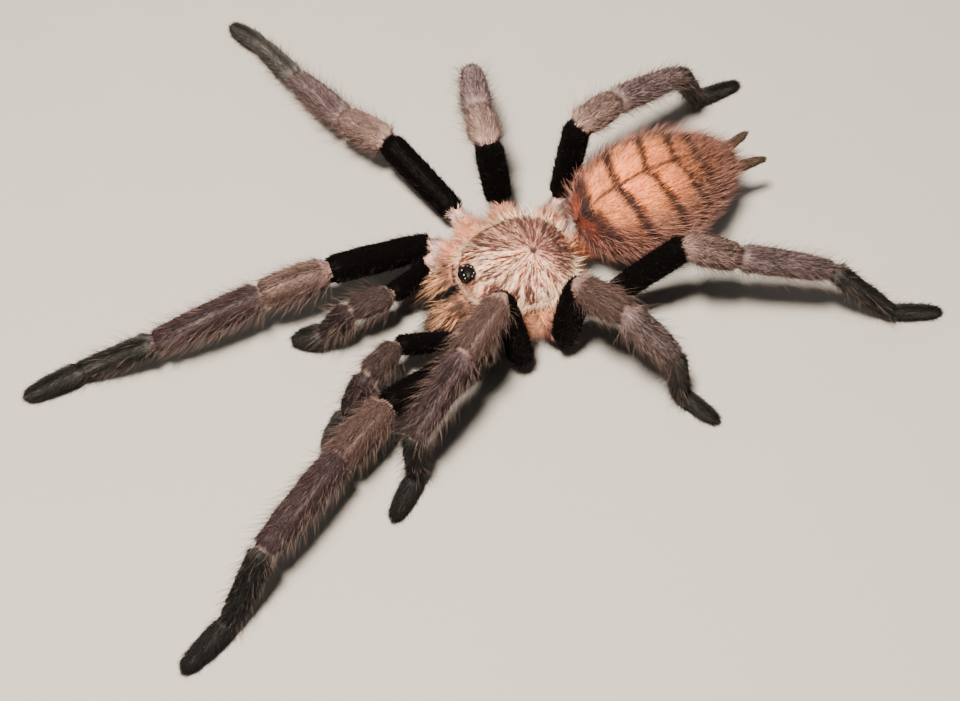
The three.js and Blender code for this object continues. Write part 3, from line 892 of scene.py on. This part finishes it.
def newSphere(spokes, rings):
    # the operator lists the faces in another order each run, and the random draws follow the list
    sphere = bmesh.new()
    bmesh.ops.create_uvsphere(sphere, u_segments=spokes, v_segments=rings, radius=1)
    sphere.verts.index_update()
    loops = []
    for face in sphere.faces:
        corners = [vertex.index for vertex in face.verts]
        first = corners.index(min(corners))
        loops.append(corners[first:] + corners[:first])
    ordered = bmesh.new()
    spots = [ordered.verts.new(vertex.co) for vertex in sphere.verts]
    for corners in sorted(loops):
        ordered.faces.new([spots[k] for k in corners])
    sphere.free()
    ordered.normal_update()
    return ordered


def wrapOver(node, centre, toAxis, sheet):
    # a fine closed sheet over one CAD node, whose poles lie on an axis
    shape = newSphere(sheet["spokes"], sheet["rings"])
    bmesh.ops.rotate(shape, verts=shape.verts, cent=(0, 0, 0), matrix=toAxis)
    solid = nodeMesh(node)
    tree = BVHTree.FromBMesh(solid)
    solid.free()
    start = Vector(centre)
    for vertex in shape.verts:
        way = vertex.co.normalized()
        spot = tree.ray_cast(start, way)[0]
        vertex.co = spot if spot is not None else start
    allAxes = {f"use_axis_{axis}": True for axis in "xyz"}
    for _ in range(sheet["smoothing"]):
        bmesh.ops.smooth_vert(shape, verts=shape.verts, factor=0.5, **allAxes)
    shape.normal_update()
    for vertex in shape.verts:
        vertex.co = vertex.co - vertex.normal * sheet["inset"]
    return shape


shieldSize = shieldHigh - shieldLow
fovea = np.array([trunkMiddle[0], trunkMiddle[1] + shield["foveaBehind"], shieldLow[2] + shield["foveaRise"]])
shape = wrapOver("carapace", fovea, Matrix.Identity(3), shield)
for vertex in shape.verts:
    offset = np.array(vertex.co) - fovea
    ahead, out = -offset[1], offset[0]
    if vertex.normal[2] < -0.2:
        continue
    turn, reach = math.atan2(out, ahead), math.hypot(out, ahead)
    pit = math.exp(-((out / shield["foveaWidth"]) ** 2 + (ahead / shield["foveaLength"]) ** 2))
    spokesHere = math.cos(turn * shield["grooves"] + 2 * math.sin(turn * 5)) * 0.5 + 0.5
    fade = smoothStep(0.8 * mm, 2.5 * mm, reach) * (1 - smoothStep(6.5 * mm, 9 * mm, reach))
    neck = math.exp(-(((abs(math.degrees(turn)) - shield["neckAngle"]) / 7) ** 2))
    neck = neck * smoothStep(1 * mm, 3 * mm, reach) * (1 - smoothStep(7 * mm, 9.5 * mm, reach))
    drop = pit * shield["foveaDepth"] + spokesHere * fade * shield["grooveDepth"] + neck * shield["neckDepth"]
    vertex.co.z -= drop
shieldPiece = fromBmesh("carapace_shield", shape, [furs["carapace"]])
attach(shieldPiece, "root")
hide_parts("carapace")


def paintShield(points):
    # dark and cream streaks that run out from the fovea, over a ground that is mauve at the
    # rear, and mauve on the animal's right as painted shade; the left flank is painted palest as painted
    # light
    offset = (points - fovea) / mm
    ahead, out = -offset[:, 1], offset[:, 0]
    turn, reach = np.degrees(np.arctan2(out, ahead)), np.hypot(out, ahead)
    bent = turn + 4 * np.sin(reach * 1.1 + turn / 9) + 2 * np.sin(reach * 2.9 + turn / 4)
    streaks = 0.3 * softNoise(bent / 4.2, reach / 3.6, 4) + 0.7 * softNoise(bent / 1.3, reach / 2.2, 6)
    crown = 1 - smoothStep(16, 30, np.abs(turn))
    # the rear is mauve on both sides; the whole right side is made mauve as painted shade
    mauve = 0.75 * smoothStep(-8, -40, turn) + 0.15 * smoothStep(-60, -110, turn)
    mauve = np.maximum(mauve, 0.75 * smoothStep(75, 140, turn))
    # painted light on the left flank
    pale = smoothStep(28, 45, turn) * (1 - smoothStep(75, 100, turn))       # the left flank is the palest
    neck = np.exp(-(((np.abs(turn) - shield["neckAngle"]) / 6) ** 2))
    neck = neck * smoothStep(1.5, 3.5, reach) * (1 - smoothStep(9, 11.5, reach))
    shift = 0.1 * mauve + 0.03 * pale - 0.01 * crown
    mark = 0.97 * smoothStep(0.47, 0.55, streaks + shift)
    mark = np.maximum(mark, neck * (0.3 + 0.7 * smoothStep(0.3, 0.55, streaks)))
    mark = np.maximum(mark, 1 - smoothStep(0.35, 0.8, reach))
    face = 0.5 * smoothStep(10.9, 11.6, reach * np.cos(np.radians(turn)))
    cream = smoothStep(0.48, 0.34, streaks + shift * 0.8) * (0.86 - 0.7 * mauve)
    back = offset[:, 1] + shield["foveaBehind"] / mm
    edge = np.hypot(out / (shieldSize[0] / 2 / mm), back / (shieldSize[1] / 2 / mm))
    rim = smoothStep(0.86, 0.97, edge)
    third = np.clip(mauve + 0.2 * (softNoise(turn / 20, reach / 3, 9) - 0.5), 0, 1)
    rim = rim * (1 - face)
    mark = np.maximum(mark * (1 - 0.8 * rim), 0.45 * face)
    return mark, np.maximum(cream * (1 - face), 0.8 * rim), np.maximum(third * (1 - 0.8 * rim), face), streaks


shieldMesh = shieldPiece.data
shieldPoints, shieldNormals = pointsOf(shieldMesh), normalsOf(shieldMesh)
shieldTriangles = trianglesOf(shieldMesh)
mark, second, third, streaks = paintShield(shieldPoints)
addMasks(shieldMesh, mark, second, third, streaks)
shieldLie = shieldPoints - fovea
shieldLie[:, 2] = 0
shieldLie = alongSurface(unit(shieldLie), shieldNormals)
shieldCoat = {
    "layers": [
        # hairs per square mm, length in mm, lift in degrees, and the lowest and highest slope of the shell
        {"density": 40, "length": 1.5, "lift": 12, "slope": (-0.1, 1.1)},
        {"density": 20, "length": 3.1, "lift": 18, "slope": (-0.75, 0.35)},
    ],
    "width": 0.1,
}
coat = Coat("carapace_coat")
for layer in shieldCoat["layers"]:
    slope = shieldNormals[shieldTriangles].mean(axis=1)[:, 2]
    chosen = (slope > layer["slope"][0]) & (slope < layer["slope"][1])
    root, normal, lay, _ = scatter(
        shieldPoints, shieldTriangles[chosen], shieldNormals, shieldLie, layer["density"],
    )
    count = len(root)
    mark, second, third, streaks = paintShield(root)
    offset = (root - fovea) / mm
    turn, reach = np.arctan2(offset[:, 0], -offset[:, 1]), np.hypot(offset[:, 0], offset[:, 1])
    locks = softNoise(np.degrees(turn) / 3, reach / 2, 8) - 0.5
    length = layer["length"] * (0.6 + 0.7 * random.random(count)) * (0.4 + 0.6 * smoothStep(0.5, 3, reach))
    length = length * (1 - 0.35 * smoothStep(9, 11, reach * np.cos(turn)))
    lift = np.radians(layer["lift"]) * (0.5 + random.random(count))
    swing = locks + (random.random(count) - 0.5) * 0.3
    width = shieldCoat["width"] * (0.7 + 0.6 * random.random(count))
    points = growHairs(root, normal, lay, length, width, lift, np.full(count, np.radians(-8)), swing, 2)
    around = np.clip(reach / 13, 0, 1)
    patch = np.stack([0.5 + 0.46 * np.sin(turn) * around, 0.5 + 0.46 * np.cos(turn) * around], axis=1)
    tone = np.clip(streaks + 0.5 * (random.random(count) - 0.5), 0, 1)
    coat.add(points, 2, (mark, second, third), tone, patch, np.zeros(count, dtype=int))
coat.build([furs["carapace"]])


# Chelicerae, fangs and eyes

cheliceraShell = {"rings": 40, "spokes": 48, "smoothing": 3, "inset": 0.42 * mm}
faceCoat = [
    # hairs per square mm, length and width in mm, lift and bend in degrees, how far from the
    # middle they start, and the share that are dark
    {"density": 27.0, "length": 1.7, "width": 0.1, "lift": 18, "bend": -6, "from": -9, "dark": 0.16},
    {"density": 8.0, "length": 3.7, "width": 0.075, "lift": 30, "bend": -24, "from": 0.5, "dark": 0.45},
]
for side in ("left", "right"):
    node = f"{side}_chelicera"
    centre = sum(boxOf(node)) / 2
    solid = nodePoints(node)
    axis = np.linalg.eigh(np.cov((solid - solid.mean(axis=0)).T))[1][:, -1]
    axis = axis * -np.sign(axis[1])
    toAxis = Vector((0, 0, 1)).rotation_difference(Vector(axis)).to_matrix()
    shape = wrapOver(node, centre, toAxis, cheliceraShell)
    piece = fromBmesh(node + "_shell", shape, [furs["chelicera"]])
    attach(piece, "root")
    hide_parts(node)
    mesh = piece.data
    points, normals, triangles = pointsOf(mesh), normalsOf(mesh), trianglesOf(mesh)
    outSide = 1 if side == "left" else -1
    upper = np.array((0, 0, 1.0)) - axis * axis[2]
    upper = upper / np.linalg.norm(upper)
    beside = np.cross(axis, upper)

    def cheliceraMasks(spots):
        offset = (spots - centre) / mm
        run = offset.dot(axis)
        around = np.arctan2(offset.dot(beside) * outSide, offset.dot(upper))
        # pale along the top, with a dark line outside it, and painted shade on the side towards the other one
        stripes = softNoise(around * 6, run / 4, 11 + outSide)
        mark = 0.9 * np.exp(-(((around + 0.85 + 0.2 * (stripes - 0.5)) / 0.14) ** 2))
        mark = np.maximum(mark, smoothStep(0.57, 0.65, stripes) * 0.9 * smoothStep(0.1, 0.4, np.abs(around)))
        mark = np.maximum(mark, smoothStep(0.75, 1.0, around))
        mark = np.maximum(mark, smoothStep(1.7, 2.3, np.abs(around)))
        second = smoothStep(1.8, 3.8, run + 2 * (stripes - 0.5)) * 0.9
        base = smoothStep(-0.1, -0.9, run + 0.8 * (stripes - 0.5))      # the darker, barer joint behind
        return np.maximum(mark, 0.75 * base), second, np.maximum(stripes * 0.5, base), run, around

    mark, second, third, run, around = cheliceraMasks(points)
    addMasks(mesh, mark, second, third, third)
    lays = alongSurface(np.tile(axis, (len(points), 1)), normals)
    coat = Coat(node + "_coat")
    for layer in faceCoat:
        root, normal, lay, _ = scatter(points, triangles, normals, lays, layer["density"])
        mark, second, third, run, around = cheliceraMasks(root)
        keep = random.random(len(root)) < smoothStep(layer["from"] - 1.5, layer["from"], run)
        root, normal, lay, mark, second, third, run, around = (
            values[keep] for values in (root, normal, lay, mark, second, third, run, around)
        )
        count = len(root)
        locks = softNoise(around * 5, run / 1.5, 13) - 0.5
        length = layer["length"] * (0.65 + 0.7 * random.random(count))
        lift = np.radians(layer["lift"]) * (0.5 + random.random(count))
        swing = locks * 0.9 + (random.random(count) - 0.5) * 0.3
        width = np.full(count, layer["width"])
        bend = np.full(count, np.radians(layer["bend"]))
        hairs = growHairs(root, normal, lay, length, width, lift, bend, swing, 2)
        column = 0.04 + 0.92 * (0.5 + around / (2 * math.pi))
        patch = np.stack([column, np.clip(0.5 + run / 11, 0.01, 0.99)], axis=1)
        tone = np.clip(0.5 + locks + 0.5 * (random.random(count) - 0.5), 0, 1)
        mark = np.maximum(mark, random.random(count) < layer["dark"])
        coat.add(hairs, 2, (mark, second, third), tone, patch, np.zeros(count, dtype=int))
    coat.build([furs["chelicera"]])
    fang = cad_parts[f"{side}_fang"]
    fang.data.materials.clear()
    fang.data.materials.append(fangGloss)

eyes = {
    # out and ahead of the middle of the mound, then the radius, in mm
    "lenses": [(0.5, 0.72, 0.52), (1.04, 0.7, 0.46), (1.08, -0.5, 0.48), (0.6, -0.95, 0.42)],
    "mound": (1.42, 1.6, 0.8),
}
moundLow, moundHigh = boxOf("eye_tubercle_with_eyes")
mound = (moundLow + moundHigh) / 2
mound[2] = moundLow[2] + 0.12 * mm
shape = newSphere(spokes=32, rings=24)
bmesh.ops.scale(shape, vec=[size * mm for size in eyes["mound"]], verts=shape.verts)
bmesh.ops.translate(shape, vec=mound, verts=shape.verts)
piece = fromBmesh("eye_mound", shape, [tubercleShell])
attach(piece, "root")
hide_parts("eye_tubercle_with_eyes")
shape = bmesh.new()
wide, deep, high = eyes["mound"]
for out, ahead, radius in eyes["lenses"]:
    up = high * math.sqrt(1 - (out / wide) ** 2 - (ahead / deep) ** 2) - 0.1 * radius
    for side in (1, -1):
        spot = mound + np.array([out * side, -ahead, up]) * mm
        place = Matrix.Translation(Vector(spot))
        bmesh.ops.create_icosphere(shape, subdivisions=3, radius=radius * mm, matrix=place)
piece = fromBmesh("eye_lenses", shape, [eyeGloss])
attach(piece, "root")
shape = bmesh.new()
claw = {"radius": 0.13 * mm, "length": 1.1 * mm, "apart": 0.24 * mm, "rise": 0.5 * mm, "droop": 38}
droop = math.radians(claw["droop"])
for node in (name for name in fleshNodes if name.endswith("_tarsus")):
    seat = seats[node]
    for side in ((0,) if "palp" in node else (1, -1)):
        way = Vector(seat["axis"]) * math.cos(droop) - Vector(seat["upper"]) * math.sin(droop)
        tip = seat["start"] + seat["axis"] * (seat["length"] + 0.05 * mm)
        tip = tip + seat["side"] * claw["apart"] * side + seat["upper"] * claw["rise"]
        turned = way.to_track_quat("Z", "Y").to_matrix().to_4x4()
        place = Matrix.Translation(Vector(tip) + way * claw["length"] / 2) @ turned
        bmesh.ops.create_cone(
            shape, cap_ends=True, segments=8, radius1=claw["radius"], radius2=claw["radius"] * 0.15,
            depth=claw["length"], matrix=place,
        )
for vertex in shape.verts:
    vertex.co.z = max(vertex.co.z, floorGap)
piece = fromBmesh("claws", shape, [clawShell])
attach(piece, "root")
print("head and claws done")


# Long hairs

def longHairs(coat, kind, cells, choose, perMm, lengths, lifts, width, darkShare):
    root, normal, lay, vertex = scatter(skinPoints, trianglesOn(kind, cells), skinNormals, lie, perMm)
    owner = skinOwner[vertex]
    place = placeOf(root, owner)
    keep = random.random(len(root)) < choose(place)
    root, normal, lay, owner = root[keep], normal[keep], lay[keep], owner[keep]
    place = {key: value[keep] for key, value in place.items()}
    count = len(root)
    length = lengths[0] + (lengths[1] - lengths[0]) * random.random(count) ** 1.5
    lift = np.radians(lifts[0] + (lifts[1] - lifts[0]) * random.random(count))
    bend = np.radians(-25) * (0.5 + random.random(count))
    swing = (random.random(count) - 0.5) * 0.8
    points = growHairs(root, normal, lay, length, np.full(count, width), lift, bend, swing, 2)
    dark = (random.random(count) < darkShare) * 0.9
    masks = (dark, np.zeros(count), random.random(count) * 0.8)
    coat.add(points, 2, masks, random.random(count), patchOf(place, owner, cells), np.zeros(count, dtype=int))


def lowSides(place):
    return 0.25 + 0.75 * smoothStep(0.8, 0.2, place["upper"])


def flanks(place):
    side = smoothStep(0.7, 1.5, np.abs(place["turn"])) + smoothStep(18, 26, place["run"])
    return np.clip(0.08 + 0.9 * side, 0, 1)


bristles = {
    # hairs per square mm, length in mm, lift in degrees, width in mm, and the share that are dark
    "patella": (4.6, (1.8, 5.2), (30, 66), 0.048, 0.4),
    "tibia": (5.2, (1.8, 5.4), (30, 68), 0.048, 0.4),
    "metatarsus": (4.0, (1.6, 4.4), (32, 66), 0.05, 0.8),
    "femur": (1.0, (1.4, 3.0), (34, 66), 0.06, 1.1),
    "tarsus": (1.0, (1.2, 2.2), (30, 60), 0.055, 1.1),
    "abdomen": (8.0, (2.0, 5.0), (30, 66), 0.055, 0.45),
}
coat = Coat("leg_bristles")
for kind in ("patella", "tibia", "metatarsus", "femur", "tarsus"):
    longHairs(coat, kind, list(limbNodes), lowSides, *bristles[kind])
coat.build([furs["bristle"]])
coat = Coat("abdomen_bristles")
longHairs(coat, "abdomen", ["abdomen"], flanks, *bristles["abdomen"])
coat.build([furs["abdomenBristle"]])

# Camera, light and floor

view = {
    "azimuth": 68.7, "elevation": 62.1, "distance": 298 * mm, "lens": 66.4,
    "aimAside": 8.5 * mm, "aimAhead": 9.5 * mm,
}
aim = Vector((trunkMiddle[0] + view["aimAside"], trunkMiddle[1] - view["aimAhead"], 0))
turn, rise = math.radians(view["azimuth"]), math.radians(view["elevation"])
away = Vector((math.sin(turn) * math.cos(rise), -math.cos(turn) * math.cos(rise), math.sin(rise)))
camera = bpy.data.objects.new("camera", bpy.data.cameras.new("camera"))
camera.data.lens = view["lens"]
camera.data.sensor_width = 36
camera.data.clip_start = 0.01
camera.location = aim + away * view["distance"]
camera.rotation_euler = (-away).to_track_quat("-Z", "Y").to_euler()
bpy.context.scene.collection.objects.link(camera)
bpy.context.scene.camera = camera


def addLight(name, where, size, power, colour):
    lamp = bpy.data.lights.new(name, "AREA")
    lamp.shape = "DISK"
    lamp.size = size
    lamp.energy = power
    lamp.color = colour
    made = bpy.data.objects.new(name, lamp)
    made.location = where
    made.rotation_euler = (aim - Vector(where)).to_track_quat("-Z", "Y").to_euler()
    bpy.context.scene.collection.objects.link(made)


addLight("key", (0.1, -0.1, 0.49), 0.07, 17.0, (1.0, 0.88, 0.75))
addLight("fill", (-0.4, 0.25, 0.35), 0.5, 0.8, (1.0, 0.93, 0.86))
world = bpy.data.worlds.new("studio")
world.use_nodes = True
world.node_tree.nodes["Background"].inputs["Color"].default_value = (1.0, 0.94, 0.88, 1)
world.node_tree.nodes["Background"].inputs["Strength"].default_value = 0.13
bpy.context.scene.world = world

shape = bmesh.new()
bmesh.ops.create_grid(shape, x_segments=1, y_segments=1, size=1.5)
bmesh.ops.translate(shape, vec=(0, 0, -floorGap), verts=shape.verts)
floorMaterial = shellMaterial("paleFloor", "807e7a", "868480", 0.85, grain=60, depth=0.0001)
floor = fromBmesh("floor", shape, [floorMaterial])

for made in fleshMeshes.values():
    made.free()
print("done")
